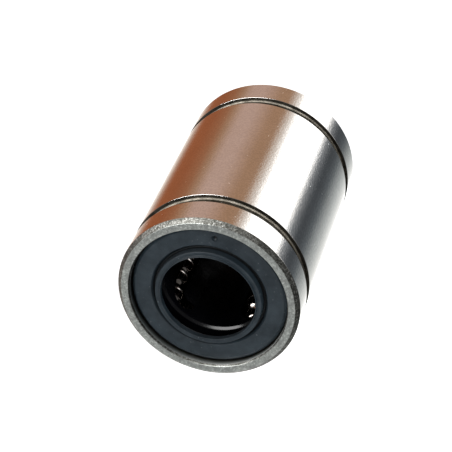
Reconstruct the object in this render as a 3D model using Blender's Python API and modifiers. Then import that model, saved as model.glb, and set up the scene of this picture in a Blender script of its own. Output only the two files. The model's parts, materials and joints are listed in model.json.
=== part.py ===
"""Closed linear ball bushing for a 10 mm shaft, with a rubber seal at each end.

The shaft runs along the world's Y axis, and the origin is at the bushing's centre.
Every piece is built standing on its axis (local +Z is the front end) under one empty,
and that empty lays the bushing on its side, so that its front faces -Y.

Four ball circuits, 90 degrees apart, each hold 18 balls in a track of the retainer:
a straight row that carries the load, a straight return row that is lifted off the
shaft, and at each end a half turn that joins them.
"""

import math

import bpy
from mathutils import Matrix, Vector

MM = 0.001

# Driving dimensions of the standard 10 x 19 x 29 bushing
SHAFT_RADIUS = 5.0 * MM
BODY_RADIUS = 9.5 * MM
BODY_HALF_LENGTH = 14.5 * MM
BALL_DIAMETER = 25.4 * MM * 3 / 32

# Outer cylinder: snap-ring grooves on the outside
SNAP_GROOVE_OUTER = 11.0 * MM
SNAP_GROOVE_WIDTH = 1.3 * MM
SNAP_GROOVE_RADIUS = 9.0 * MM
EDGE_CHAMFER = 0.45 * MM

# Outer cylinder: bore, from its mouth inwards
MOUTH_RADIUS = 8.35 * MM
MOUTH_BEVEL = 0.2 * MM
SEAL_SEAT_RADIUS = 8.22 * MM
SEAL_SEAT_FLOOR = 12.95 * MM
RING_GROOVE_RADIUS = 8.38 * MM
RING_GROOVE_OUTER = 12.42 * MM
RING_GROOVE_INNER = 11.80 * MM
RELIEF_RADIUS = 7.98 * MM
LAND_RADIUS = 7.41 * MM
LAND_HALF_LENGTH = 8.50 * MM
CHANNEL_RADIUS = 1.26 * MM
CHANNEL_OVERRUN = 0.3 * MM

# Ball circuits
CIRCUITS = 4
FIRST_LOAD_ANGLE = math.radians(33)
BALL_PITCH = 2.42 * MM
LOAD_BALLS = 7
TURN_RADIUS = 1.70 * MM
TURN_TILT = math.radians(8)
TURN_BALL_ANGLES = (math.radians(45), math.radians(135))
RETURN_LIFT = 0.5 * MM
NECK_RADIUS = 0.22 * MM

# Ball retainer
RETAINER_INNER_RADIUS = 5.40 * MM
RETAINER_OUTER_RADIUS = 7.20 * MM
RETAINER_HALF_LENGTH = 11.75 * MM
RETAINER_CHAMFER = 0.25 * MM
RETAINER_LEAD_IN = 0.30 * MM
TRACK_RADIUS = 1.30 * MM

# Retaining rings
RING_INNER_RADIUS = 6.90 * MM
RING_OUTER_RADIUS = 8.34 * MM
RING_THICKNESS = 0.58 * MM
RING_GAP = 3.4 * MM

# Seals
SEAL_RADIUS = 8.19 * MM
SEAL_BACK = 12.97 * MM
SEAL_FLAT = 13.80 * MM
SEAL_FLAT_RADIUS = 7.80 * MM
SEAL_FLAT_INNER_RADIUS = 6.10 * MM
SEAL_EDGE_DROP = 0.35 * MM
VALLEY_FLOOR = 13.32 * MM
VALLEY_OUTER_RADIUS = 5.80 * MM
VALLEY_INNER_RADIUS = 5.62 * MM
LIP_SHOULDER = 14.20 * MM
LIP_SHOULDER_OUTER_RADIUS = 5.58 * MM
LIP_SHOULDER_INNER_RADIUS = 5.12 * MM
LIP_TIP = 14.36 * MM
LIP_TIP_RADIUS = 5.05 * MM
LIP_RADIUS = 4.97 * MM
LIP_ROOT_RADIUS = 5.60 * MM

# Mesh fineness
TURNED_STEPS = 48
TRACK_STEPS = 10
TUBE_BEVEL_RESOLUTION = 2
CHANNEL_SIDES = 16
NECK_SIDES = 8
RING_STEPS = 28
BALL_SUBDIVISIONS = 2
MERGE_DISTANCE = 0.001 * MM
SHARP_ANGLE = math.radians(30)

# Worked out from the above
BALL_RADIUS = BALL_DIAMETER / 2
LOAD_ROW_RADIUS = SHAFT_RADIUS + BALL_RADIUS
RETURN_ROW_RADIUS = LOAD_ROW_RADIUS + RETURN_LIFT
STRAIGHT_HALF_LENGTH = LOAD_BALLS * BALL_PITCH / 2
ROW_ANGLE = math.acos(
    (LOAD_ROW_RADIUS**2 + RETURN_ROW_RADIUS**2 - (2 * TURN_RADIUS) ** 2)
    / (2 * LOAD_ROW_RADIUS * RETURN_ROW_RADIUS)
)

# A circuit in its own frame: the load row is at +X, and the return row is ROW_ANGLE on.
AXIS = Vector((0, 0, 1))
LOAD_ROW = Vector((LOAD_ROW_RADIUS, 0, 0))
RETURN_ROW = Matrix.Rotation(ROW_ANGLE, 3, "Z") @ Vector((RETURN_ROW_RADIUS, 0, 0))
ROW_MIDDLE = (LOAD_ROW + RETURN_ROW) / 2
ACROSS = (RETURN_ROW - LOAD_ROW).normalized()
OUTWARD = ACROSS.cross(AXIS)
ENDS = {"front": 1, "rear": -1}


# ---------------------------------------------------------------- scene and helpers


def clear_scene():
    for old in list(bpy.data.objects):
        bpy.data.objects.remove(old, do_unlink=True)


def new_collection(name):
    collection = bpy.data.collections.new(name)
    bpy.context.scene.collection.children.link(collection)
    return collection


def principled(name, colour, roughness, metallic):
    material = bpy.data.materials.new(name)
    material.use_nodes = True
    shader = material.node_tree.nodes["Principled BSDF"]
    shader.inputs["Base Color"].default_value = (*colour, 1)
    shader.inputs["Roughness"].default_value = roughness
    shader.inputs["Metallic"].default_value = metallic
    return material


def add_object(name, data, collection, parent, material=None):
    thing = bpy.data.objects.new(name, data)
    collection.objects.link(thing)
    thing.parent = parent
    if material:
        data.materials.clear()
        data.materials.append(material)
    return thing


def add_empty(name, collection, parent=None):
    empty = add_object(name, None, collection, parent)
    empty.empty_display_size = BALL_DIAMETER
    return empty


def hide_cutter(cutter):
    cutter.hide_render = True
    cutter.display_type = "WIRE"


def evaluated_mesh(thing):
    """The object's mesh with its modifiers or its curve's bevel applied."""
    depsgraph = bpy.context.evaluated_depsgraph_get()
    depsgraph.update()
    return bpy.data.meshes.new_from_object(thing.evaluated_get(depsgraph))


def turned(name, profile, collection, parent, material):
    """A profile of (radius, height) points, down its outer side first, turned about Z."""
    outline = bpy.data.meshes.new(name + "_outline")
    count = len(profile)
    edges = [(i, (i + 1) % count) for i in range(count)]
    outline.from_pydata([(radius, 0, height) for radius, height in profile], edges, [])
    guide = add_object(outline.name, outline, collection, None)
    screw = guide.modifiers.new("Turn", "SCREW")
    screw.steps = TURNED_STEPS
    screw.render_steps = TURNED_STEPS
    screw.use_merge_vertices = True
    screw.merge_threshold = MERGE_DISTANCE
    mesh = evaluated_mesh(guide)
    bpy.data.objects.remove(guide, do_unlink=True)
    mesh.shade_smooth()
    mesh.set_sharp_from_angle(angle=SHARP_ANGLE)
    return add_object(name, mesh, collection, parent, material)


def both_ends(half):
    """A side given from its top to its middle, carried on to its bottom."""
    return half + [(radius, -height) for radius, height in reversed(half)]


def tube_profile(outer_half, inner_half):
    return both_ends(outer_half) + both_ends(inner_half)[::-1]


def cut(thing, cutter):
    boolean = thing.modifiers.new("Cut " + cutter.name, "BOOLEAN")
    boolean.operation = "DIFFERENCE"
    boolean.object = cutter


def arc_point(radius, angle):
    return Vector((radius * math.cos(angle), radius * math.sin(angle), 0))


def poly_curve(name, splines, dimensions):
    """A curve of closed polylines."""
    curve = bpy.data.curves.new(name, "CURVE")
    curve.dimensions = dimensions
    for points in splines:
        spline = curve.splines.new("POLY")
        spline.points.add(len(points) - 1)
        for target, point in zip(spline.points, points):
            target.co = (*point, 1)
        spline.use_cyclic_u = True
    return curve


def curve_cutter(name, curve, collection, parent, matrix):
    """A curve made into a welded mesh that can cut."""
    guide = add_object(name + "_guide", curve, collection, None)
    mesh = evaluated_mesh(guide)
    bpy.data.objects.remove(guide, do_unlink=True)
    cutter = add_object(name, mesh, collection, parent)
    cutter.matrix_local = matrix
    weld = cutter.modifiers.new("Weld", "WELD")
    weld.merge_threshold = MERGE_DISTANCE
    hide_cutter(cutter)
    return cutter


# ---------------------------------------------------------------- ball circuits


def turn_frame(end):
    """A turn's hinge: X points at the load row, Y out of the turn, Z along the hinge.

    The turn is tilted a little outwards, so that a ball lifts off the shaft at once.
    """
    out_of_turn = AXIS * ENDS[end] * math.cos(TURN_TILT) + OUTWARD * math.sin(TURN_TILT)
    axes = Matrix((-ACROSS, out_of_turn, (-ACROSS).cross(out_of_turn))).transposed()
    centre = ROW_MIDDLE + AXIS * ENDS[end] * STRAIGHT_HALF_LENGTH
    return Matrix.Translation(centre) @ axes.to_4x4()


def turn_point(angle):
    """A point of the half turn in its hinge's frame: 0 at the load row, pi at the return."""
    return arc_point(TURN_RADIUS, angle)


def track_path():
    """The closed path of the ball centres, in the circuit's frame."""
    angles = [math.pi * step / TRACK_STEPS for step in range(TRACK_STEPS + 1)]
    front = [turn_frame("front") @ turn_point(angle) for angle in angles]
    rear = [turn_frame("rear") @ turn_point(angle) for angle in reversed(angles)]
    return front + rear


def stadium(radius):
    """A flat long oval around the two rows, in a plane with X across and Y along."""
    angles = [math.pi * step / TRACK_STEPS for step in range(TRACK_STEPS + 1)]
    shift = Vector((0, STRAIGHT_HALF_LENGTH, 0))
    top = [arc_point(radius, angle) + shift for angle in angles]
    return top + [-point for point in top]


def add_track_cutters(circuit_name, circuit, collection):
    """The ball tube, and the slot through which the balls reach the cylinder."""
    tube = poly_curve(circuit_name + "_tube", [track_path()], "3D")
    tube.bevel_depth = TRACK_RADIUS
    tube.bevel_resolution = TUBE_BEVEL_RESOLUTION
    tube_cutter = curve_cutter(
        circuit_name + "_tube_cutter", tube, collection, circuit, Matrix()
    )

    rims = [stadium(TURN_RADIUS + TRACK_RADIUS), stadium(TURN_RADIUS - TRACK_RADIUS)]
    slot = poly_curve(circuit_name + "_slot", rims, "2D")
    slot.fill_mode = "BOTH"
    slot.extrude = BALL_RADIUS
    axes = Matrix((ACROSS, AXIS, OUTWARD)).transposed().to_4x4()
    place = Matrix.Translation(ROW_MIDDLE + OUTWARD * slot.extrude) @ axes
    slot_cutter = curve_cutter(
        circuit_name + "_slot_cutter", slot, collection, circuit, place
    )
    return [tube_cutter, slot_cutter]


def add_channel_cutter(circuit_name, circuit, collection):
    """The relief in the cylinder's lands that the return row runs in."""
    bpy.ops.mesh.primitive_cylinder_add(
        vertices=CHANNEL_SIDES,
        radius=CHANNEL_RADIUS,
        depth=2 * (LAND_HALF_LENGTH + CHANNEL_OVERRUN),
    )
    cutter = bpy.context.object
    cutter.name = circuit_name + "_channel_cutter"
    for owner in cutter.users_collection:
        owner.objects.unlink(cutter)
    collection.objects.link(cutter)
    cutter.parent = circuit
    cutter.location = RETURN_ROW
    hide_cutter(cutter)
    return cutter


def ball_mesh(material):
    bpy.ops.mesh.primitive_ico_sphere_add(
        subdivisions=BALL_SUBDIVISIONS, radius=BALL_RADIUS
    )
    sample = bpy.context.object
    mesh = sample.data
    mesh.name = "ball"
    mesh.shade_smooth()
    mesh.materials.append(material)
    bpy.data.objects.remove(sample, do_unlink=True)
    return mesh


def row_heights():
    first = (LOAD_BALLS - 1) / 2
    return [BALL_PITCH * (first - number) for number in range(LOAD_BALLS)]


def return_row_mesh(ball, collection, material):
    """A whole return row: its balls, joined by a thin neck at each point of contact."""
    bpy.ops.mesh.primitive_cylinder_add(
        vertices=NECK_SIDES, radius=NECK_RADIUS, depth=(LOAD_BALLS - 1) * BALL_PITCH
    )
    neck = bpy.context.object
    copies = []
    for height in row_heights():
        copy = add_object("return_ball_shape", ball, collection, None)
        copy.location.z = height
        union = neck.modifiers.new("Join ball", "BOOLEAN")
        union.operation = "UNION"
        union.object = copy
        copies.append(copy)
    mesh = evaluated_mesh(neck)
    mesh.name = "return_row"
    mesh.materials.clear()
    mesh.materials.append(material)
    mesh.shade_smooth()
    for helper in copies + [neck]:
        bpy.data.objects.remove(helper, do_unlink=True)
    return mesh


def add_balls(circuit_name, circuit, collection, ball, return_row):
    """One circuit's balls; each turn's pair hangs on an empty on its hinge axis."""
    load_row = add_empty(circuit_name + "_load_slide", collection, circuit)
    load_row.location = LOAD_ROW
    for number, height in enumerate(row_heights(), start=1):
        name = f"{circuit_name}_load_ball_{number}"
        add_object(name, ball, collection, load_row).location.z = height

    row = add_object(circuit_name + "_return_row", return_row, collection, circuit)
    row.location = RETURN_ROW

    for end in ENDS:
        hinge = add_empty(f"{circuit_name}_{end}_turn", collection, circuit)
        hinge.matrix_local = turn_frame(end)
        for number, angle in enumerate(TURN_BALL_ANGLES, start=1):
            name = f"{circuit_name}_{end}_turn_ball_{number}"
            add_object(name, ball, collection, hinge).location = turn_point(angle)


# ---------------------------------------------------------------- pieces


def add_outer_cylinder(collection, parent, material):
    groove_inner = SNAP_GROOVE_OUTER - SNAP_GROOVE_WIDTH
    outer_half = [
        (BODY_RADIUS - EDGE_CHAMFER, BODY_HALF_LENGTH),
        (BODY_RADIUS, BODY_HALF_LENGTH - EDGE_CHAMFER),
        (BODY_RADIUS, SNAP_GROOVE_OUTER),
        (SNAP_GROOVE_RADIUS, SNAP_GROOVE_OUTER),
        (SNAP_GROOVE_RADIUS, groove_inner),
        (BODY_RADIUS, groove_inner),
    ]
    inner_half = [
        (MOUTH_RADIUS, BODY_HALF_LENGTH),
        (SEAL_SEAT_RADIUS, BODY_HALF_LENGTH - MOUTH_BEVEL),
        (SEAL_SEAT_RADIUS, SEAL_SEAT_FLOOR),
        (RELIEF_RADIUS, SEAL_SEAT_FLOOR),
        (RELIEF_RADIUS, RING_GROOVE_OUTER),
        (RING_GROOVE_RADIUS, RING_GROOVE_OUTER),
        (RING_GROOVE_RADIUS, RING_GROOVE_INNER),
        (RELIEF_RADIUS, RING_GROOVE_INNER),
        (RELIEF_RADIUS, LAND_HALF_LENGTH),
        (LAND_RADIUS, LAND_HALF_LENGTH),
    ]
    profile = tube_profile(outer_half, inner_half)
    return turned("outer_cylinder", profile, collection, parent, material)


def add_ball_retainer(collection, parent, material):
    outer_half = [
        (RETAINER_OUTER_RADIUS - RETAINER_CHAMFER, RETAINER_HALF_LENGTH),
        (RETAINER_OUTER_RADIUS, RETAINER_HALF_LENGTH - RETAINER_CHAMFER),
    ]
    inner_half = [
        (RETAINER_INNER_RADIUS + RETAINER_LEAD_IN, RETAINER_HALF_LENGTH),
        (RETAINER_INNER_RADIUS, RETAINER_HALF_LENGTH - RETAINER_LEAD_IN),
    ]
    profile = tube_profile(outer_half, inner_half)
    return turned("ball_retainer", profile, collection, parent, material)


def add_seal(end, collection, parent, material):
    """A rubber ring: a flat face, a valley, and a raised lip whose tip wipes the shaft."""
    profile = [
        (LIP_TIP_RADIUS, LIP_TIP),
        (LIP_SHOULDER_INNER_RADIUS, LIP_SHOULDER),
        (LIP_SHOULDER_OUTER_RADIUS, LIP_SHOULDER),
        (VALLEY_INNER_RADIUS, VALLEY_FLOOR),
        (VALLEY_OUTER_RADIUS, VALLEY_FLOOR),
        (SEAL_FLAT_INNER_RADIUS, SEAL_FLAT),
        (SEAL_FLAT_RADIUS, SEAL_FLAT),
        (SEAL_RADIUS, SEAL_FLAT - SEAL_EDGE_DROP),
        (SEAL_RADIUS, SEAL_BACK),
        (LIP_ROOT_RADIUS, SEAL_BACK),
        (LIP_RADIUS, SEAL_FLAT),
        (LIP_RADIUS, LIP_TIP),
    ]
    seal = turned(end + "_seal", profile, collection, parent, material)
    if end == "rear":
        seal.rotation_euler.x = math.pi
    return seal


def add_retaining_ring(end, collection, parent, material):
    """A flat open ring that springs into its groove, with the gap at the bottom."""
    half_gap = RING_GAP / 2 / RING_OUTER_RADIUS
    sweep = 2 * (math.pi - half_gap)
    angles = [half_gap + sweep * step / RING_STEPS for step in range(RING_STEPS + 1)]
    outer_arc = [arc_point(RING_OUTER_RADIUS, angle) for angle in angles]
    inner_arc = [arc_point(RING_INNER_RADIUS, angle) for angle in reversed(angles)]
    outline = outer_arc + inner_arc
    curve = poly_curve(end + "_retaining_ring", [outline], "2D")
    curve.fill_mode = "BOTH"
    curve.extrude = RING_THICKNESS / 2
    ring = add_object(curve.name, curve, collection, parent, material)
    ring.location.z = ENDS[end] * (RING_GROOVE_INNER + RING_GROOVE_OUTER) / 2
    ring.rotation_euler.z = -math.pi / 2
    return ring


def main():
    clear_scene()
    bushing = new_collection("linear_ball_bushing")
    cutters = new_collection("cutters")

    steel = principled("ground_steel", (0.62, 0.58, 0.54), 0.16, 1.0)
    ball_steel = principled("ball_steel", (0.72, 0.72, 0.73), 0.06, 1.0)
    spring_steel = principled("spring_steel", (0.32, 0.31, 0.30), 0.35, 1.0)
    rubber = principled("black_rubber", (0.035, 0.040, 0.048), 0.55, 0.0)
    resin = principled("black_resin", (0.020, 0.020, 0.022), 0.35, 0.0)

    axis = add_empty("bushing_axis", bushing)
    axis.rotation_euler.x = math.pi / 2

    cylinder = add_outer_cylinder(bushing, axis, steel)
    retainer = add_ball_retainer(bushing, axis, resin)
    for end in ENDS:
        add_seal(end, bushing, axis, rubber)
        add_retaining_ring(end, bushing, axis, spring_steel)

    ball = ball_mesh(ball_steel)
    return_row = return_row_mesh(ball, cutters, ball_steel)
    for number in range(CIRCUITS):
        name = f"circuit_{number + 1}"
        circuit = add_empty(name, bushing, axis)
        circuit.rotation_euler.z = FIRST_LOAD_ANGLE + number * math.tau / CIRCUITS
        for cutter in add_track_cutters(name, circuit, cutters):
            cut(retainer, cutter)
        cut(cylinder, add_channel_cutter(name, circuit, cutters))
        add_balls(name, circuit, bushing, ball, return_row)


main()
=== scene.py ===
"""Looks of the linear ball bushing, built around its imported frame.

Every piece is placed from the frame: the shaft's axis is world Y, the front seal faces -Y,
and the ball circuits are where the frame's ball nodes and joints put them.
"""
import json
import math

import bmesh
import bpy
from mathutils import Matrix, Vector


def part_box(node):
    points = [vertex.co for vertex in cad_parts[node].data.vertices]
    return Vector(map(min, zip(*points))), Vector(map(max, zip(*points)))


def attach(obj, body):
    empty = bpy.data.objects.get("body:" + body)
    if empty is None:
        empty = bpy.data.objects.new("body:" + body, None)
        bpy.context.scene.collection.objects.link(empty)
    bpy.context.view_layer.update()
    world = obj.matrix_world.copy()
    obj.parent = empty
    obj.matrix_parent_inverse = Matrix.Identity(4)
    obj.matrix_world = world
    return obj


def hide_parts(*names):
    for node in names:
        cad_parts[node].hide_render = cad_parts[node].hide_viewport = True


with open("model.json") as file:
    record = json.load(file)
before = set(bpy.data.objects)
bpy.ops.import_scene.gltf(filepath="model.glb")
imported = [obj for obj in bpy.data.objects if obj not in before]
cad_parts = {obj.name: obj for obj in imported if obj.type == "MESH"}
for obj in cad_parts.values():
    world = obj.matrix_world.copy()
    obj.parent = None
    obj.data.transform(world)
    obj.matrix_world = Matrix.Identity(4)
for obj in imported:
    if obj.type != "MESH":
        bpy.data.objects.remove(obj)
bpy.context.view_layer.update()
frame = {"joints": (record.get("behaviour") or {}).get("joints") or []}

MM = 0.001
INCH = 25.4 * MM

# ---------------------------------------------------------------- sizes from the frame

CYLINDER_LOW, CYLINDER_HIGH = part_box("outer_cylinder")
BODY_RADIUS = (CYLINDER_HIGH.x - CYLINDER_LOW.x) / 2
HALF_LENGTH = (CYLINDER_HIGH.y - CYLINDER_LOW.y) / 2
RETAINER_HALF_LENGTH = (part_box("ball_retainer")[1].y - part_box("ball_retainer")[0].y) / 2
SEAL_TIP = -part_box("front_seal")[0].y
SEAL_BACK = -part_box("front_seal")[1].y
RING_BACK = -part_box("front_retaining_ring")[1].y
RING_FRONT = -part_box("front_retaining_ring")[0].y
FLOOR_HEIGHT = CYLINDER_LOW.z

# ---------------------------------------------------------------- details, in metres

EDGE_CHAMFER = 0.45 * MM
GROOVE_OUTER = 11.0 * MM
GROOVE_INNER = 9.7 * MM
GROOVE_DEPTH = 0.5 * MM
GROOVE_MIDDLE = (GROOVE_OUTER + GROOVE_INNER) / 2
# Width and fade of the painted highlight along the foot of each groove wall
GROOVE_HIGHLIGHT_WIDTH = 0.10 * MM
GROOVE_HIGHLIGHT_FADE = 0.08 * MM
MOUTH_RADIUS = 8.35 * MM
MOUTH_BEVEL = 0.2 * MM
MOUTH_DEPTH = 0.9 * MM
SEAT_RADIUS = 8.22 * MM
SEAT_FLOOR = 12.95 * MM
RING_GROOVE_RADIUS = 8.38 * MM
RING_GROOVE_INNER = 11.80 * MM
RING_GROOVE_OUTER = 12.42 * MM
RELIEF_RADIUS = 7.98 * MM
LAND_RADIUS = 7.41 * MM
LAND_HALF_LENGTH = 8.50 * MM
CHANNEL_RADIUS = 1.26 * MM

LEAD_IN_ROUNDING = 0.25 * MM

BALL_RADIUS = INCH * 3 / 64
TRACK_RADIUS = 1.30 * MM
RETAINER_INNER = 5.40 * MM
RETAINER_OUTER = 7.20 * MM
RETAINER_CHAMFER = 0.25 * MM
RETAINER_LEAD_IN = 0.30 * MM

SEAL_RADIUS = 8.19 * MM
SEAL_FLAT = SEAL_TIP - 0.56 * MM
SEAL_FLAT_RADIUS = 7.80 * MM
SEAL_FLAT_INNER_RADIUS = 6.10 * MM
SEAL_EDGE_HEIGHT = 0.35 * MM
SEAL_BACK_RADIUS = 5.60 * MM
LIP_SHOULDER = SEAL_TIP - 0.16 * MM
LIP_RADIUS = 4.97 * MM
LIP_TIP_RADIUS = 5.04 * MM
LIP_FOOT_RADIUS = 5.12 * MM
LIP_SHOULDER_RADIUS = 5.56 * MM
VALLEY_INNER_RADIUS = 5.62 * MM
VALLEY_OUTER_RADIUS = 5.80 * MM
VALLEY_FLOOR = SEAL_FLAT - 0.48 * MM
# Below this depth under the flat, the seal's valley is painted near black: grime and painted
# shadow of the lip
VALLEY_SHADE_DEPTH = 0.22 * MM
VENT_RADIUS = 0.34 * MM
VENT_PLACE = (0.62 * MM, 7.06 * MM)
VENT_DEPTH = 0.28 * MM
RING_INNER = 6.90 * MM
RING_OUTER = 8.34 * MM
RING_GAP = 3.4 * MM
RING_EDGE = 0.06 * MM

FILLET_STEPS = 4
SEGMENTS = 288
SMALL_SEGMENTS = 192
TRACK_STEPS = 20
SHARP = math.radians(40)
FLAT = math.radians(0.5)
WELD_DISTANCE = 0.0005 * MM
FINISH_MARGIN = 0.02 * MM
FACE_MARGIN = 0.03 * MM
FLOOR_SIZE = 160 * BODY_RADIUS

STEEL_RELIEF = 0.009 * MM

CIRCUITS = (1, 2, 3, 4)
LOAD_BALLS = range(1, 8)
TURN_BALLS = (1, 2)


# ---------------------------------------------------------------- camera, room and lights


def srgb(red, green, blue):
    """A display colour, 0 to 255, as linear RGBA."""
    def linear(channel):
        share = channel / 255
        return share / 12.92 if share <= 0.04045 else ((share + 0.055) / 1.055) ** 2.4
    return (linear(red), linear(green), linear(blue), 1)


VIEW_AZIMUTH = math.radians(14.26)
VIEW_ELEVATION = math.radians(33.16)
VIEW_DISTANCE = 183.5 * MM
VIEW_SHIFT = (-1.677 * MM, -0.244 * MM)
VIEW_LENS = 135.9

# Colours the ground steel shows, from a room with warm brown, white and dark grey sides
RUST = srgb(136, 81, 53)
CLAY = srgb(142, 95, 68)
TAN = srgb(153, 121, 97)
ROSE = srgb(175, 148, 135)
SAND = srgb(164, 138, 122)
PEARL = srgb(230, 226, 220)
WHITE = srgb(249, 250, 250)
SILVER = srgb(222, 223, 221)
ASH = srgb(166, 171, 171)
SLATE = srgb(84, 90, 94)
COAL = srgb(64, 68, 72)

# Those colours across the cylinder, by the direction (degrees from +X up to +Z) that the
# steel mirrors. The white ones lie below, where the pale floor is, and at the upper right.
STEEL_REFLECTANCE = 0.63
STUDIO_BANDS = [
    (-180, RUST), (-158, RUST), (-146, SAND), (-124, PEARL), (-100, WHITE),
    (-76, SILVER), (-50, ASH), (-25, SLATE), (-13, COAL), (-4, COAL), (9, srgb(126, 130, 134)),
    (18, WHITE), (58, WHITE), (68, srgb(214, 207, 200)), (80, TAN), (94, TAN),
    (118, ROSE), (136, ROSE), (148, TAN), (160, CLAY), (180, RUST),
]
WHITE_LEVEL = srgb(246, 246, 246)[0] * 0.98
WHITE_GAIN = 1.7

# What the front half of the room shows a polished surface, by height of direction
FRONT_LEVELS = [
    (-1.0, 0.75), (-0.5, 0.55), (-0.1, 0.35), (0.1, 0.20), (0.35, 0.17), (1.0, 0.17),
]
# How much of that is lost low down on the right
FRONT_RIGHT_LOSS = 0.80
SOFT_LIGHT = 0.12
FLOOR_GLOW = 0.97

# One big soft box, up and to the left of the camera, which only polished surfaces show
KEY_DIRECTION = (-0.48, -0.57, 0.67)
KEY_DISTANCE = 0.30
KEY_SIZE = 0.26
KEY_POWER = 1.45

# Matte fills, which polished surfaces don't show: one low on the left, one high on the right
FILL_DISTANCE = 0.30
FILL_SIZE = 0.12
FILLS = {
    "left_fill": ((-0.35, -0.90, 0.12), 0.28),
    "right_fill": ((0.62, -0.50, 0.60), 0.40),
}


def centre_of(node):
    """Middle of a frame node's box."""
    low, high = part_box(node)
    return (low + high) / 2


# ---------------------------------------------------------------- node helpers


class Nodes:
    """Short calls for one material's node tree."""

    def __init__(self, tree):
        self.tree = tree

    def add(self, kind, inputs=None, **settings):
        node = self.tree.nodes.new(kind)
        for key, value in settings.items():
            setattr(node, key, value)
        for key, value in (inputs or {}).items():
            if hasattr(value, "links"):
                self.tree.links.new(value, node.inputs[key])
            else:
                node.inputs[key].default_value = value
        return node

    def math(self, operation, a, b=0.0):
        return self.add("ShaderNodeMath", {0: a, 1: b}, operation=operation).outputs[0]

    def mix(self, factor, a, b):
        """Two colours mixed; a colour mix takes them at its sockets 6 and 7."""
        return self.add("ShaderNodeMix", {0: factor, 6: a, 7: b}, data_type="RGBA").outputs[2]

    def ramp(self, value, stops):
        node = self.add("ShaderNodeValToRGB", {0: value})
        elements = node.color_ramp.elements
        while len(elements) < len(stops):
            elements.new(0.5)
        for element, (position, colour) in zip(elements, stops):
            element.position = position
            element.color = grey(colour) if isinstance(colour, (int, float)) else colour
        return node.outputs[0]

    def map_range(self, value, start, end):
        """0 at the start, 1 at the end and straight between them."""
        return self.add("ShaderNodeMapRange", {0: value, 1: start, 2: end}).outputs[0]

    def noise(self, vector, scale, detail=2.0, roughness=0.5):
        inputs = {"Vector": vector, "Scale": scale, "Detail": detail, "Roughness": roughness}
        return self.add("ShaderNodeTexNoise", inputs).outputs[0]

    def stretched(self, vector, scale):
        return self.add("ShaderNodeMapping", {"Vector": vector, "Scale": scale}).outputs[0]


def grey(value):
    return (value, value, value, 1)


def new_material(name):
    """A material's nodes, its Principled shader and the object's own coordinates."""
    material = bpy.data.materials.new(name)
    material.use_nodes = True
    nodes = Nodes(material.node_tree)
    shader = material.node_tree.nodes["Principled BSDF"]
    place = nodes.add("ShaderNodeTexCoord").outputs["Object"]
    return material, nodes, shader, place


def plug(nodes, shader, **inputs):
    """Sets or links shader sockets, whose names are written with _ for each space."""
    for name, value in inputs.items():
        socket = shader.inputs[name.replace("_", " ")]
        if hasattr(value, "links"):
            nodes.tree.links.new(value, socket)
        else:
            socket.default_value = value


def bump(nodes, shader, height, strength, distance):
    inputs = {"Height": height, "Strength": strength, "Distance": distance}
    node = nodes.add("ShaderNodeBump", inputs)
    nodes.tree.links.new(node.outputs[0], shader.inputs["Normal"])


# ---------------------------------------------------------------- materials


def ground_steel():
    """The ground outside: grinding lines round the part, fine pits and bright nicks."""
    material, nodes, shader, place = new_material("ground_steel")
    lines = nodes.noise(nodes.stretched(place, (500, 14000, 500)), 1.0, 2.0)
    pits = nodes.noise(place, 5000.0, 1.0, 0.6)
    cloud = nodes.noise(place, 260.0, 3.0)
    nick = nodes.noise(nodes.stretched(place, (2600, 1300, 2600)), 1.0, 1.0, 0.5)
    nicks = nodes.ramp(nick, [(0.755, 0.0), (0.80, 0.7)])
    stain = nodes.ramp(cloud, [(0.35, 0.0), (0.75, 1.0)])
    colour = nodes.mix(stain, (0.66, 0.64, 0.62, 1), (0.61, 0.58, 0.55, 1))
    colour = nodes.mix(nodes.ramp(pits, [(0.42, 0.25), (0.58, 0.0)]), colour, grey(0.35))
    colour = nodes.mix(nicks, colour, (0.90, 0.89, 0.88, 1))
    rough = nodes.ramp(lines, [(0.3, 0.07), (0.7, 0.14)])
    rough = nodes.math("ADD", rough, nodes.math("MULTIPLY", nicks, 0.30))
    height = nodes.math("ADD", nodes.math("MULTIPLY", lines, 0.12), pits)
    plug(nodes, shader, Metallic=1.0, Base_Color=colour, Roughness=rough)
    bump(nodes, shader, height, 1.0, STEEL_RELIEF)
    return material


def distance_from_shaft(nodes, place):
    """A node whose Value is the distance from the shaft's axis."""
    axes = nodes.add("ShaderNodeSeparateXYZ", {0: place})
    flat = nodes.add("ShaderNodeCombineXYZ", {0: axes.outputs[0], 1: axes.outputs[2]})
    return nodes.add("ShaderNodeVectorMath", {0: flat.outputs[0]}, operation="LENGTH")


def turned_finish(name, dark, middle, light, rough, relief):
    """Turned steel: rings of tool marks and a coarse grain that sparkles."""
    material, nodes, shader, place = new_material(name)
    radius = distance_from_shaft(nodes, place).outputs["Value"]
    ring = nodes.add("ShaderNodeCombineXYZ", {0: radius}).outputs[0]
    rings = nodes.noise(ring, 16000.0, 2.0, 0.7)
    grain = nodes.noise(place, 5200.0, 3.0, 0.7)
    blotch = nodes.ramp(nodes.noise(place, 1500.0, 2.0), [(0.45, 0.0), (0.65, 0.6)])
    colour = nodes.ramp(grain, [(0.30, dark), (0.52, middle), (0.72, light)])
    colour = nodes.mix(blotch, colour, dark)
    height = nodes.math("ADD", nodes.math("MULTIPLY", rings, 0.6), grain)
    plug(nodes, shader, Metallic=1.0, Base_Color=colour, Roughness=rough)
    bump(nodes, shader, height, 1.0, relief)
    return material


def face_steel():
    """The end faces, turned bright."""
    return turned_finish(
        "face_steel", (0.30, 0.31, 0.30, 1), (0.50, 0.53, 0.50, 1), (0.84, 0.87, 0.83, 1),
        rough=0.34, relief=0.012 * MM,
    )


def chamfer_steel():
    """The chamfers, rougher and darker than the faces beside them."""
    return turned_finish(
        "chamfer_steel", (0.05, 0.05, 0.042, 1), (0.16, 0.16, 0.147, 1), (0.55, 0.55, 0.52, 1),
        rough=0.50, relief=0.035 * MM,
    )


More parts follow.
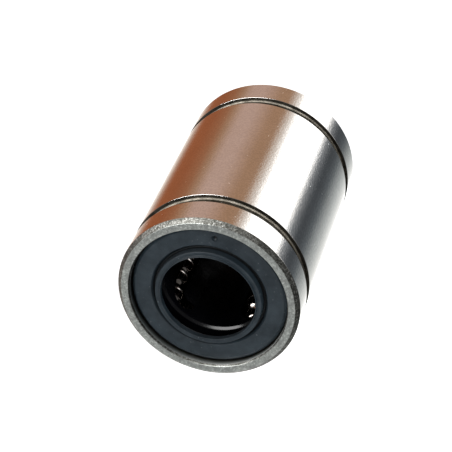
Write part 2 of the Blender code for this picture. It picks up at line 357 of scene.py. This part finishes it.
def groove_steel():
    """The snap-ring grooves: grime and painted shade, and a painted highlight at each wall's
    foot.
    """
    material, nodes, shader, place = new_material("groove_steel")
    lines = nodes.noise(nodes.stretched(place, (300, 12000, 300)), 1.0, 2.0)
    cloud = nodes.noise(place, 1100.0, 3.0)
    # The lighter colour along the foot of each wall is a painted highlight, where light passes
    # over the near edge; the dark colour elsewhere is grime and painted shade.
    foot_highlight_colour = nodes.ramp(cloud, [(0.35, (0.34, 0.315, 0.265, 1)), (0.7, (0.66, 0.62, 0.55, 1))])
    grime_and_shade = nodes.ramp(cloud, [(0.35, (0.045, 0.042, 0.033, 1)), (0.7, (0.13, 0.12, 0.10, 1))])
    radius = distance_from_shaft(nodes, place).outputs["Value"]
    above = nodes.math("SUBTRACT", radius, BODY_RADIUS - GROOVE_DEPTH)
    along = nodes.math("ABSOLUTE", nodes.add("ShaderNodeSeparateXYZ", {0: place}).outputs[1])
    off_middle = nodes.math("ABSOLUTE", nodes.math("SUBTRACT", along, GROOVE_MIDDLE))
    aside = nodes.math("SUBTRACT", (GROOVE_OUTER - GROOVE_INNER) / 2, off_middle)
    from_foot = nodes.math("MAXIMUM", above, aside)
    foot_highlight = nodes.map_range(from_foot, GROOVE_HIGHLIGHT_WIDTH + GROOVE_HIGHLIGHT_FADE, GROOVE_HIGHLIGHT_WIDTH)
    rough = nodes.math("ADD", nodes.math("MULTIPLY", foot_highlight, 0.35), 0.45)
    plug(nodes, shader, Metallic=1.0, Base_Color=nodes.mix(foot_highlight, grime_and_shade, foot_highlight_colour), Roughness=rough)
    bump(nodes, shader, lines, 0.3, 0.01 * MM)
    return material


def bore_steel():
    """The inside of the cylinder: dark with oil and painted shade deep in, painted lighter
    towards its mouths.
    """
    material, nodes, shader, place = new_material("bore_steel")
    grime_and_shade = nodes.noise(place, 700.0, 3.0)
    colour = nodes.ramp(grime_and_shade, [(0.3, (0.16, 0.15, 0.12, 1)), (0.7, (0.34, 0.32, 0.28, 1))])
    along = nodes.math("ABSOLUTE", nodes.add("ShaderNodeSeparateXYZ", {0: place}).outputs[1])
    # Deeper in, the colour stays dark as painted shade; towards each mouth it is painted lighter,
    # as if lit there.
    mouth_light = nodes.map_range(along, HALF_LENGTH - MOUTH_DEPTH, HALF_LENGTH - MOUTH_BEVEL)
    colour = nodes.mix(mouth_light, colour, (0.78, 0.80, 0.77, 1))
    rough = nodes.math("ADD", nodes.math("MULTIPLY", mouth_light, 0.30), 0.28)
    plug(nodes, shader, Metallic=1.0, Base_Color=colour, Roughness=rough)
    bump(nodes, shader, grime_and_shade, 0.15, 0.02 * MM)
    return material


def ball_steel():
    """Polished bearing balls under a thin film of oil, their steel painted darker as painted
    shade for the dim bore.
    """
    material, nodes, shader, place = new_material("ball_steel")
    film = nodes.noise(place, 600.0, 2.0)
    rough = nodes.ramp(film, [(0.3, 0.03), (0.7, 0.09)])
    # The base colour is darker than polished steel: painted shade, to dim the balls inside the
    # bore.
    plug(nodes, shader, Metallic=1.0, Base_Color=(0.30, 0.27, 0.25, 1), Roughness=rough)
    return material


def spring_steel():
    """Hardened rings, grey with a little scale."""
    material, nodes, shader, place = new_material("spring_steel")
    scale = nodes.noise(place, 1600.0, 3.0)
    colour = nodes.ramp(scale, [(0.3, (0.17, 0.16, 0.16, 1)), (0.7, (0.34, 0.33, 0.32, 1))])
    plug(nodes, shader, Metallic=1.0, Base_Color=colour, Roughness=0.34)
    bump(nodes, shader, scale, 0.2, 0.01 * MM)
    return material


def seal_rubber():
    """Moulded rubber: blue-black, matte, with fine grain, a little dust, and grime and painted
    shadow deep in the valley.
    """
    material, nodes, shader, place = new_material("seal_rubber")
    mottle = nodes.noise(place, 620.0, 4.0, 0.6)
    grain = nodes.noise(place, 6500.0, 2.0, 0.6)
    dust = nodes.ramp(nodes.noise(place, 3300.0, 2.0), [(0.70, 0.0), (0.76, 1.0)])
    dark, light = (0.008, 0.015, 0.021, 1), (0.021, 0.032, 0.041, 1)
    colour = nodes.ramp(mottle, [(0.3, dark), (0.7, light)])
    colour = nodes.mix(dust, colour, (0.08, 0.09, 0.10, 1))
    # Deep in the valley by the lip the colour is painted near black: grime and painted shadow of
    # the lip.
    along = nodes.math("ABSOLUTE", nodes.add("ShaderNodeSeparateXYZ", {0: place}).outputs[1])
    depth = nodes.math("SUBTRACT", SEAL_FLAT, along)
    valley_grime_and_shade = nodes.math("GREATER_THAN", depth, VALLEY_SHADE_DEPTH)
    colour = nodes.mix(nodes.math("MULTIPLY", valley_grime_and_shade, 0.75), colour, grey(0.002))
    rough = nodes.ramp(grain, [(0.3, 0.46), (0.7, 0.62)])
    plug(nodes, shader, Base_Color=colour, Roughness=rough, Specular_IOR_Level=0.32)
    bump(nodes, shader, grain, 0.6, 0.010 * MM)
    return material


def retainer_resin():
    """Black moulded resin under a film of oil."""
    material, nodes, shader, place = new_material("retainer_resin")
    mottle = nodes.noise(place, 500.0, 3.0)
    dark, light = (0.0012, 0.0014, 0.0024, 1), (0.0028, 0.0030, 0.0044, 1)
    colour = nodes.ramp(mottle, [(0.3, dark), (0.7, light)])
    rough = nodes.ramp(mottle, [(0.3, 0.16), (0.7, 0.28)])
    along = nodes.add("ShaderNodeSeparateXYZ", {0: place}).outputs[1]
    rim_start = RETAINER_HALF_LENGTH - RETAINER_LEAD_IN - 0.1 * MM
    rim = nodes.math("GREATER_THAN", nodes.math("ABSOLUTE", along), rim_start)
    shine = nodes.math("ADD", nodes.math("MULTIPLY", rim, 0.32), 0.03)
    plug(nodes, shader, Base_Color=colour, Roughness=rough, Specular_IOR_Level=shine)
    bump(nodes, shader, mottle, 0.1, 0.03 * MM)
    return material


def floor_paper():
    """White paper that glows like a light table, so that it shows no shadow."""
    material, nodes, shader, place = new_material("pale_floor")
    fibre = nodes.noise(place, 900.0, 2.0)
    colour = nodes.ramp(fibre, [(0.3, grey(0.93)), (0.7, grey(0.95))])
    plug(nodes, shader, Base_Color=colour, Roughness=0.9, Specular_IOR_Level=0.0)
    plug(nodes, shader, Emission_Color=grey(1.0), Emission_Strength=FLOOR_GLOW)
    return material


MATERIALS = {
    make.__name__: make()
    for make in (
        ground_steel, face_steel, chamfer_steel, groove_steel, bore_steel,
        ball_steel, spring_steel, seal_rubber, retainer_resin, floor_paper,
    )
}

# ---------------------------------------------------------------- mesh helpers


def new_piece(name, mesh, body, slot, replaced, *materials):
    """A visible piece that rides on a body and stands for a node of the frame."""
    for material in materials:
        mesh.materials.append(MATERIALS[material])
    piece = bpy.data.objects.new(name, mesh)
    bpy.context.scene.collection.objects.link(piece)
    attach(piece, body)
    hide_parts(replaced)
    return piece


def fillet(corners):
    """Profile corners (radius, along, rounding), each rounding turned into an arc."""
    points = []
    for index, (radius, along, rounding) in enumerate(corners):
        here = Vector((radius, along))
        if not rounding:
            points.append(here)
            continue
        before = Vector(corners[index - 1][:2]) - here
        after = Vector(corners[(index + 1) % len(corners)][:2]) - here
        half = before.angle(after) / 2
        reach = min(rounding / math.tan(half), 0.45 * before.length, 0.45 * after.length)
        start = here + before.normalized() * reach
        inward = (before.normalized() + after.normalized()).normalized()
        middle = here + inward * reach / math.cos(half)
        spoke = start - middle
        first = math.atan2(spoke.y, spoke.x)
        last = math.atan2(*reversed(here + after.normalized() * reach - middle))
        sweep = math.remainder(last - first, math.tau)
        for step in range(FILLET_STEPS + 1):
            turn = first + sweep * step / FILLET_STEPS
            points.append(middle + Vector((math.cos(turn), math.sin(turn))) * spoke.length)
    return points


def both_ends(half):
    """Corners given from the front to the middle, carried on to the rear."""
    return half + [(radius, -along, rounding) for radius, along, rounding in reversed(half)]


def lathe(name, points, segments, radius_at=None):
    """Closed profile points (radius, along) turned about the shaft; front is -Y."""
    vertices = []
    for segment in range(segments):
        angle = math.tau * segment / segments
        for point in points:
            radius = radius_at(point, angle) if radius_at else point.x
            vertices.append((radius * math.cos(angle), -point.y, radius * math.sin(angle)))
    count = len(points)
    faces = []
    for segment in range(segments):
        this, following = segment * count, (segment + 1) % segments * count
        for index in range(count):
            after = (index + 1) % count
            faces.append((this + index, this + after, following + after, following + index))
    mesh = bpy.data.meshes.new(name)
    mesh.from_pydata(vertices, [], faces)
    tidy_normals(mesh)
    return mesh


def tidy_normals(mesh):
    """Faces turned outwards, shaded smooth but for sharp edges."""
    form = bmesh.new()
    form.from_mesh(mesh)
    bmesh.ops.recalc_face_normals(form, faces=form.faces)
    form.to_mesh(mesh)
    form.free()
    mesh.shade_smooth()
    mesh.set_sharp_from_angle(angle=SHARP)


def weighted(piece):
    """Keeps big faces flat in shading beside small fillets."""
    modifier = piece.modifiers.new("Weighted normals", "WEIGHTED_NORMAL")
    modifier.keep_sharp = True


# ---------------------------------------------------------------- outer cylinder


def channel_angles():
    return [math.atan2(p.z, p.x) for p in map(return_row_centre, CIRCUITS)]


def load_row_centre(circuit):
    """The middle one of the seven load balls."""
    return centre_of(f"circuit_{circuit}_load_ball_4")


def return_row_centre(circuit):
    return centre_of(f"circuit_{circuit}_return_row")


def add_outer_cylinder():
    """Ground outside, grooved, chamfered; inside, lands with a channel for each return row."""
    groove_radius = BODY_RADIUS - GROOVE_DEPTH
    outer = both_ends([
        (BODY_RADIUS - EDGE_CHAMFER, HALF_LENGTH, 0.06 * MM),
        (BODY_RADIUS, HALF_LENGTH - EDGE_CHAMFER, 0.10 * MM),
        (BODY_RADIUS, GROOVE_OUTER, 0.04 * MM),
        (groove_radius, GROOVE_OUTER, 0.06 * MM),
        (groove_radius, GROOVE_INNER, 0.06 * MM),
        (BODY_RADIUS, GROOVE_INNER, 0.04 * MM),
    ])
    inner = both_ends([
        (MOUTH_RADIUS, HALF_LENGTH, 0.05 * MM),
        (SEAT_RADIUS, HALF_LENGTH - MOUTH_BEVEL, 0.05 * MM),
        (SEAT_RADIUS, SEAT_FLOOR, 0),
        (RELIEF_RADIUS, SEAT_FLOOR, 0.04 * MM),
        (RELIEF_RADIUS, RING_GROOVE_OUTER, 0.04 * MM),
        (RING_GROOVE_RADIUS, RING_GROOVE_OUTER, 0),
        (RING_GROOVE_RADIUS, RING_GROOVE_INNER, 0),
        (RELIEF_RADIUS, RING_GROOVE_INNER, 0.04 * MM),
        (RELIEF_RADIUS, LAND_HALF_LENGTH, 0),
        (LAND_RADIUS, LAND_HALF_LENGTH, 0),
    ])
    reach = return_row_centre(1).xz.length
    channels = channel_angles()

    def radius_at(point, angle):
        if point.x > LAND_RADIUS + 0.01 * MM:
            return point.x
        off = min(abs(math.remainder(angle - channel, math.tau)) for channel in channels)
        side = reach * math.sin(off)
        if off > math.pi / 2 or side > CHANNEL_RADIUS:
            return point.x
        return max(point.x, reach * math.cos(off) + math.sqrt(CHANNEL_RADIUS**2 - side**2))

    mesh = lathe("cylinder", fillet(outer + inner[::-1]), SEGMENTS, radius_at)
    for face in mesh.polygons:
        middle = face.center
        radius, along = middle.xz.length, abs(middle.y)
        face.material_index = cylinder_finish(radius, along)
    piece = new_piece(
        "steel_cylinder", mesh, "root", "bearing_steel", "outer_cylinder",
        "ground_steel", "face_steel", "chamfer_steel", "groove_steel", "bore_steel",
    )
    weighted(piece)


def cylinder_finish(radius, along):
    """Which finish a face has: 0 ground, 1 end face, 2 chamfer, 3 groove, 4 bore."""
    if along > HALF_LENGTH - FACE_MARGIN:
        return 1
    if along > HALF_LENGTH - EDGE_CHAMFER and radius > MOUTH_RADIUS:
        return 2
    if along > HALF_LENGTH - MOUTH_BEVEL - FINISH_MARGIN and radius > SEAT_RADIUS:
        return 2
    if radius > BODY_RADIUS - FINISH_MARGIN:
        return 0
    in_groove = along < GROOVE_OUTER + 0.1 * MM
    if radius > BODY_RADIUS - GROOVE_DEPTH - FINISH_MARGIN and in_groove:
        return 3
    return 4


# ---------------------------------------------------------------- ball circuits


def circuit_axes(circuit):
    """Middle between the rows, direction from load row to return row, and outward normal."""
    load = load_row_centre(circuit)
    back = return_row_centre(circuit)
    across = (back - load).normalized()
    outward = across.cross(Vector((0, 1, 0)))
    middle = (load + back) / 2
    if outward.dot(middle) < 0:
        outward = -outward
    return middle, across, outward


def hinge(circuit, end):
    """Where a turn's hinge is in the frame, and its axis."""
    name = f"circuit_{circuit}_{end}_turn_hinge"
    joint = next(joint for joint in frame["joints"] if joint["name"] == name)
    return Vector(joint["pos_m"]), Vector(joint["axis"])


def track_path(circuit):
    """The closed path of the ball centres: two straight rows joined by a turn at each end."""
    path = []
    for end, order in (("front", 1), ("rear", -1)):
        place, axis = hinge(circuit, end)
        load = load_row_centre(circuit)
        spoke = Vector((load.x, place.y, load.z)) - place
        angles = [math.pi * step / TRACK_STEPS for step in range(TRACK_STEPS + 1)]
        path += [place + Matrix.Rotation(angle, 3, axis) @ spoke for angle in angles[::order]]
    return path


def curve_mesh(name, splines, dimensions, **settings):
    """The mesh that closed outlines make as one curve with these settings."""
    curve = bpy.data.curves.new(name, "CURVE")
    curve.dimensions = dimensions
    for points in splines:
        spline = curve.splines.new("POLY")
        spline.points.add(len(points) - 1)
        for target, point in zip(spline.points, points):
            target.co = (*point, 1)
        spline.use_cyclic_u = True
    for key, value in settings.items():
        setattr(curve, key, value)
    guide = bpy.data.objects.new(name, curve)
    bpy.context.scene.collection.objects.link(guide)
    mesh = evaluated(guide)
    bpy.data.objects.remove(guide, do_unlink=True)
    return mesh


def evaluated(thing):
    depsgraph = bpy.context.evaluated_depsgraph_get()
    depsgraph.update()
    return bpy.data.meshes.new_from_object(thing.evaluated_get(depsgraph))


def helper_object(mesh):
    thing = bpy.data.objects.new("helper", mesh)
    bpy.context.scene.collection.objects.link(thing)
    return thing


def cut(mesh, cutters):
    """The mesh with every cutter mesh taken out of it."""
    blank = helper_object(mesh)
    tools = [helper_object(cutter) for cutter in cutters]
    for tool in tools:
        boolean = blank.modifiers.new("Cut", "BOOLEAN")
        boolean.operation = "DIFFERENCE"
        boolean.object = tool
    result = evaluated(blank)
    for thing in tools + [blank]:
        bpy.data.objects.remove(thing, do_unlink=True)
    result.shade_smooth()
    result.set_sharp_from_angle(angle=SHARP)
    return result


def stadium(radius, half_length):
    """Outline of two straight sides joined by half circles."""
    angles = [math.pi * step / TRACK_STEPS for step in range(TRACK_STEPS + 1)]
    top = [Vector((radius * math.cos(a), half_length + radius * math.sin(a), 0)) for a in angles]
    return top + [-point for point in top]


def track_cutters(circuit):
    """The ball tube, and the slot from it out to the cylinder."""
    path = track_path(circuit)
    tube = curve_mesh("tube", [path], "3D", bevel_depth=TRACK_RADIUS, bevel_resolution=6)
    middle, across, outward = circuit_axes(circuit)
    turn_radius = (return_row_centre(circuit) - load_row_centre(circuit)).length / 2
    half = abs(hinge(circuit, "front")[0].y)
    rims = [stadium(turn_radius + TRACK_RADIUS, half), stadium(turn_radius - TRACK_RADIUS, half)]
    slot = curve_mesh("slot", rims, "2D", fill_mode="BOTH", extrude=BALL_RADIUS)
    axes = Matrix((across, Vector((0, 1, 0)), outward)).transposed().to_4x4()
    slot.transform(Matrix.Translation(middle + outward * BALL_RADIUS) @ axes)
    for mesh in (tube, slot):
        form = bmesh.new()
        form.from_mesh(mesh)
        bmesh.ops.remove_doubles(form, verts=form.verts, dist=WELD_DISTANCE)
        bmesh.ops.recalc_face_normals(form, faces=form.faces)
        form.to_mesh(mesh)
        form.free()
        yield mesh


def add_retainer():
    """A resin sleeve with a closed ball track cut through it for each circuit."""
    profile = both_ends([
        (RETAINER_OUTER, RETAINER_HALF_LENGTH, RETAINER_CHAMFER),
    ]) + both_ends([
        (RETAINER_INNER + RETAINER_LEAD_IN, RETAINER_HALF_LENGTH, LEAD_IN_ROUNDING),
        (RETAINER_INNER, RETAINER_HALF_LENGTH - RETAINER_LEAD_IN, LEAD_IN_ROUNDING),
    ])[::-1]
    blank = lathe("blank", fillet(profile), SMALL_SEGMENTS)
    mesh = cut(blank, [cutter for circuit in CIRCUITS for cutter in track_cutters(circuit)])
    new_piece(
        "resin_retainer", mesh, "root", "retainer_resin", "ball_retainer", "retainer_resin"
    )


def sphere_mesh(name, radius, subdivisions):
    form = bmesh.new()
    bmesh.ops.create_icosphere(form, subdivisions=subdivisions, radius=radius)
    mesh = bpy.data.meshes.new(name)
    form.to_mesh(mesh)
    form.free()
    mesh.shade_smooth()
    return mesh


def add_ball(name, mesh, place, body, node):
    """One ball that rides on a body, in place of a frame node if it is given one."""
    ball = bpy.data.objects.new(name, mesh)
    bpy.context.scene.collection.objects.link(ball)
    ball.location = place
    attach(ball, body)
    if node:
        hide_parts(node)


def add_balls():
    """Every ball of each circuit; the first return ball stands for the whole return row."""
    mesh = sphere_mesh("polished_ball", BALL_RADIUS, 4)
    mesh.materials.append(MATERIALS["ball_steel"])
    for circuit in CIRCUITS:
        name = f"circuit_{circuit}"
        for number in LOAD_BALLS:
            node = f"{name}_load_ball_{number}"
            add_ball(f"{node}_steel", mesh, centre_of(node), name + "_load_row", node)
            height = centre_of(node).y
            place = return_row_centre(circuit)
            add_ball(
                f"{name}_return_ball_{number}_steel", mesh, Vector((place.x, height, place.z)),
                name + "_return_row", name + "_return_row" if number == 1 else None,
            )
        for end in ("front", "rear"):
            for number in TURN_BALLS:
                node = f"{name}_{end}_turn_ball_{number}"
                add_ball(f"{node}_steel", mesh, centre_of(node), f"{name}_{end}_turn", node)


# ---------------------------------------------------------------- seals and rings


def add_seal(end, side):
    """A moulded seal; side is 1 at the front and -1 at the rear."""
    profile = fillet([
        (LIP_TIP_RADIUS, SEAL_TIP, 0.03 * MM),
        (LIP_FOOT_RADIUS, LIP_SHOULDER - 0.05 * MM, 0.04 * MM),
        (LIP_SHOULDER_RADIUS, LIP_SHOULDER + 0.06 * MM, 0.08 * MM),
        (VALLEY_INNER_RADIUS, VALLEY_FLOOR, 0.10 * MM),
        (VALLEY_OUTER_RADIUS, VALLEY_FLOOR, 0.08 * MM),
        (SEAL_FLAT_INNER_RADIUS, SEAL_FLAT, 0.10 * MM),
        (SEAL_FLAT_RADIUS, SEAL_FLAT, 0.12 * MM),
        (SEAL_RADIUS, SEAL_FLAT - SEAL_EDGE_HEIGHT, 0.10 * MM),
        (SEAL_RADIUS, SEAL_BACK, 0.06 * MM),
        (SEAL_BACK_RADIUS, SEAL_BACK, 0.06 * MM),
        (LIP_RADIUS, SEAL_FLAT, 0.05 * MM),
        (LIP_RADIUS, SEAL_TIP, 0.02 * MM),
    ])
    mesh = lathe("seal", [Vector((p.x, side * p.y)) for p in profile], SMALL_SEGMENTS)
    vent = sphere_mesh("vent", VENT_RADIUS, 3)
    vent_height = SEAL_FLAT - VENT_DEPTH + VENT_RADIUS
    vent.transform(Matrix.Translation((VENT_PLACE[0], -side * vent_height, VENT_PLACE[1])))
    mesh = cut(mesh, [vent])
    piece = new_piece(
        f"{end}_rubber_seal", mesh, "root", "seal_rubber", f"{end}_seal", "seal_rubber"
    )
    weighted(piece)


def add_ring(end, side):
    """An open retaining ring with rounded edges, its gap at the bottom."""
    half_gap = RING_GAP / 2 / RING_OUTER
    first = -math.pi / 2 + half_gap
    sweep = math.tau - 2 * half_gap
    angles = [first + sweep * step / SMALL_SEGMENTS for step in range(SMALL_SEGMENTS + 1)]
    outline = [(RING_OUTER * math.cos(a), RING_OUTER * math.sin(a), 0) for a in angles]
    outline += [(RING_INNER * math.cos(a), RING_INNER * math.sin(a), 0) for a in reversed(angles)]
    thickness = RING_FRONT - RING_BACK
    mesh = curve_mesh("ring", [outline], "2D", fill_mode="BOTH", extrude=thickness / 2)
    form = bmesh.new()
    form.from_mesh(mesh)
    bmesh.ops.remove_doubles(form, verts=form.verts, dist=WELD_DISTANCE)
    bmesh.ops.dissolve_limit(form, angle_limit=FLAT, verts=form.verts, edges=form.edges)
    sharp = [e for e in form.edges if e.calc_face_angle(0) > SHARP]
    bmesh.ops.bevel(form, geom=sharp, offset=RING_EDGE, segments=2, affect="EDGES", profile=0.5)
    form.to_mesh(mesh)
    form.free()
    place = Vector((0, -side * (RING_FRONT + RING_BACK) / 2, 0))
    mesh.transform(Matrix.Translation(place) @ Matrix.Rotation(math.pi / 2, 4, "X"))
    tidy_normals(mesh)
    new_piece(
        f"{end}_spring_ring", mesh, "root", "spring_steel", f"{end}_retaining_ring",
        "spring_steel",
    )


# ---------------------------------------------------------------- studio


def studio_world():
    """White to the camera, dim to matte surfaces, and banded cards to polished ones."""
    world = bpy.data.worlds.new("studio")
    bpy.context.scene.world = world
    world.use_nodes = True
    nodes = Nodes(world.node_tree)
    background = world.node_tree.nodes["Background"]
    output = world.node_tree.nodes["World Output"]
    direction = nodes.add("ShaderNodeTexCoord").outputs["Generated"]
    axes = nodes.add("ShaderNodeSeparateXYZ", {0: direction})
    angle = nodes.math("ARCTAN2", axes.outputs[2], axes.outputs[0])
    turn = nodes.math("ADD", nodes.math("MULTIPLY", angle, 1 / math.tau), 0.5)
    stops = []
    for degrees, colour in STUDIO_BANDS:
        gain = (WHITE_GAIN if min(colour[:3]) > WHITE_LEVEL else 1) / STEEL_REFLECTANCE
        lit = tuple(channel * gain for channel in colour[:3]) + (1,)
        stops.append((degrees / 360 + 0.5, lit))
    behind = nodes.ramp(turn, stops)
    height = nodes.math("ADD", nodes.math("MULTIPLY", axes.outputs[2], 0.5), 0.5)
    front = nodes.ramp(height, [(h / 2 + 0.5, grey(value)) for h, value in FRONT_LEVELS])
    side = nodes.map_range(axes.outputs[0], 0.05, 0.55)
    below = nodes.map_range(axes.outputs[2], 0.1, -0.2)
    low_right = nodes.math("MULTIPLY", side, below)
    front = nodes.mix(nodes.math("MULTIPLY", low_right, FRONT_RIGHT_LOSS), front, grey(0.0))
    rear = nodes.map_range(axes.outputs[1], -0.15, 0.45)
    cards = nodes.mix(rear, front, behind)
    path = nodes.add("ShaderNodeLightPath")
    soft = nodes.mix(path.outputs["Is Glossy Ray"], grey(SOFT_LIGHT), cards)
    seen = nodes.mix(path.outputs["Is Camera Ray"], soft, grey(1.0))
    nodes.tree.links.new(seen, background.inputs[0])
    nodes.tree.links.new(background.outputs[0], output.inputs[0])


def add_floor():
    """A floor that meets the cylinder's lowest point."""
    form = bmesh.new()
    bmesh.ops.create_grid(form, x_segments=8, y_segments=8, size=FLOOR_SIZE)
    mesh = bpy.data.meshes.new("floor")
    form.to_mesh(mesh)
    form.free()
    mesh.materials.append(MATERIALS["floor_paper"])
    floor = bpy.data.objects.new("floor", mesh)
    bpy.context.scene.collection.objects.link(floor)
    floor.location.z = FLOOR_HEIGHT
    floor.visible_glossy = False


def add_lamp(name, direction, distance, size, power):
    """A round lamp out in a direction, facing the bushing."""
    lamp = bpy.data.lights.new(name, "AREA")
    lamp.shape = "DISK"
    lamp.size = size
    lamp.energy = power
    thing = bpy.data.objects.new(name, lamp)
    bpy.context.scene.collection.objects.link(thing)
    thing.location = Vector(direction).normalized() * distance
    thing.rotation_mode = "QUATERNION"
    thing.rotation_quaternion = Vector(direction).to_track_quat("Z", "Y")
    return thing


def add_camera():
    """The camera looks at the bushing's middle, with the picture shifted a little."""
    azimuth, elevation = VIEW_AZIMUTH, VIEW_ELEVATION
    level = math.cos(elevation)
    back = Vector((math.sin(azimuth) * level, -math.cos(azimuth) * level, math.sin(elevation)))
    right = Vector((math.cos(azimuth), math.sin(azimuth), 0))
    up = back.cross(right)
    data = bpy.data.cameras.new("camera")
    data.lens = VIEW_LENS
    data.clip_start = VIEW_DISTANCE / 100
    data.clip_end = VIEW_DISTANCE * 100
    camera = bpy.data.objects.new("camera", data)
    bpy.context.scene.collection.objects.link(camera)
    place = back * VIEW_DISTANCE + right * VIEW_SHIFT[0] + up * VIEW_SHIFT[1]
    turn = Matrix((right, up, back)).transposed().to_4x4()
    camera.matrix_world = Matrix.Translation(place) @ turn
    bpy.context.scene.camera = camera


# ---------------------------------------------------------------- the whole scene

add_outer_cylinder()
add_retainer()
for end_name, end_side in (("front", 1), ("rear", -1)):
    add_seal(end_name, end_side)
    add_ring(end_name, end_side)
add_balls()

studio_world()
add_floor()
key = add_lamp("key", KEY_DIRECTION, KEY_DISTANCE, KEY_SIZE, KEY_POWER)
key.visible_diffuse = False
for fill_name, (fill_direction, fill_power) in FILLS.items():
    fill = add_lamp(fill_name, fill_direction, FILL_DISTANCE, FILL_SIZE, fill_power)
    fill.visible_glossy = False
add_camera()
bpy.context.scene.view_settings.view_transform = "Standard"
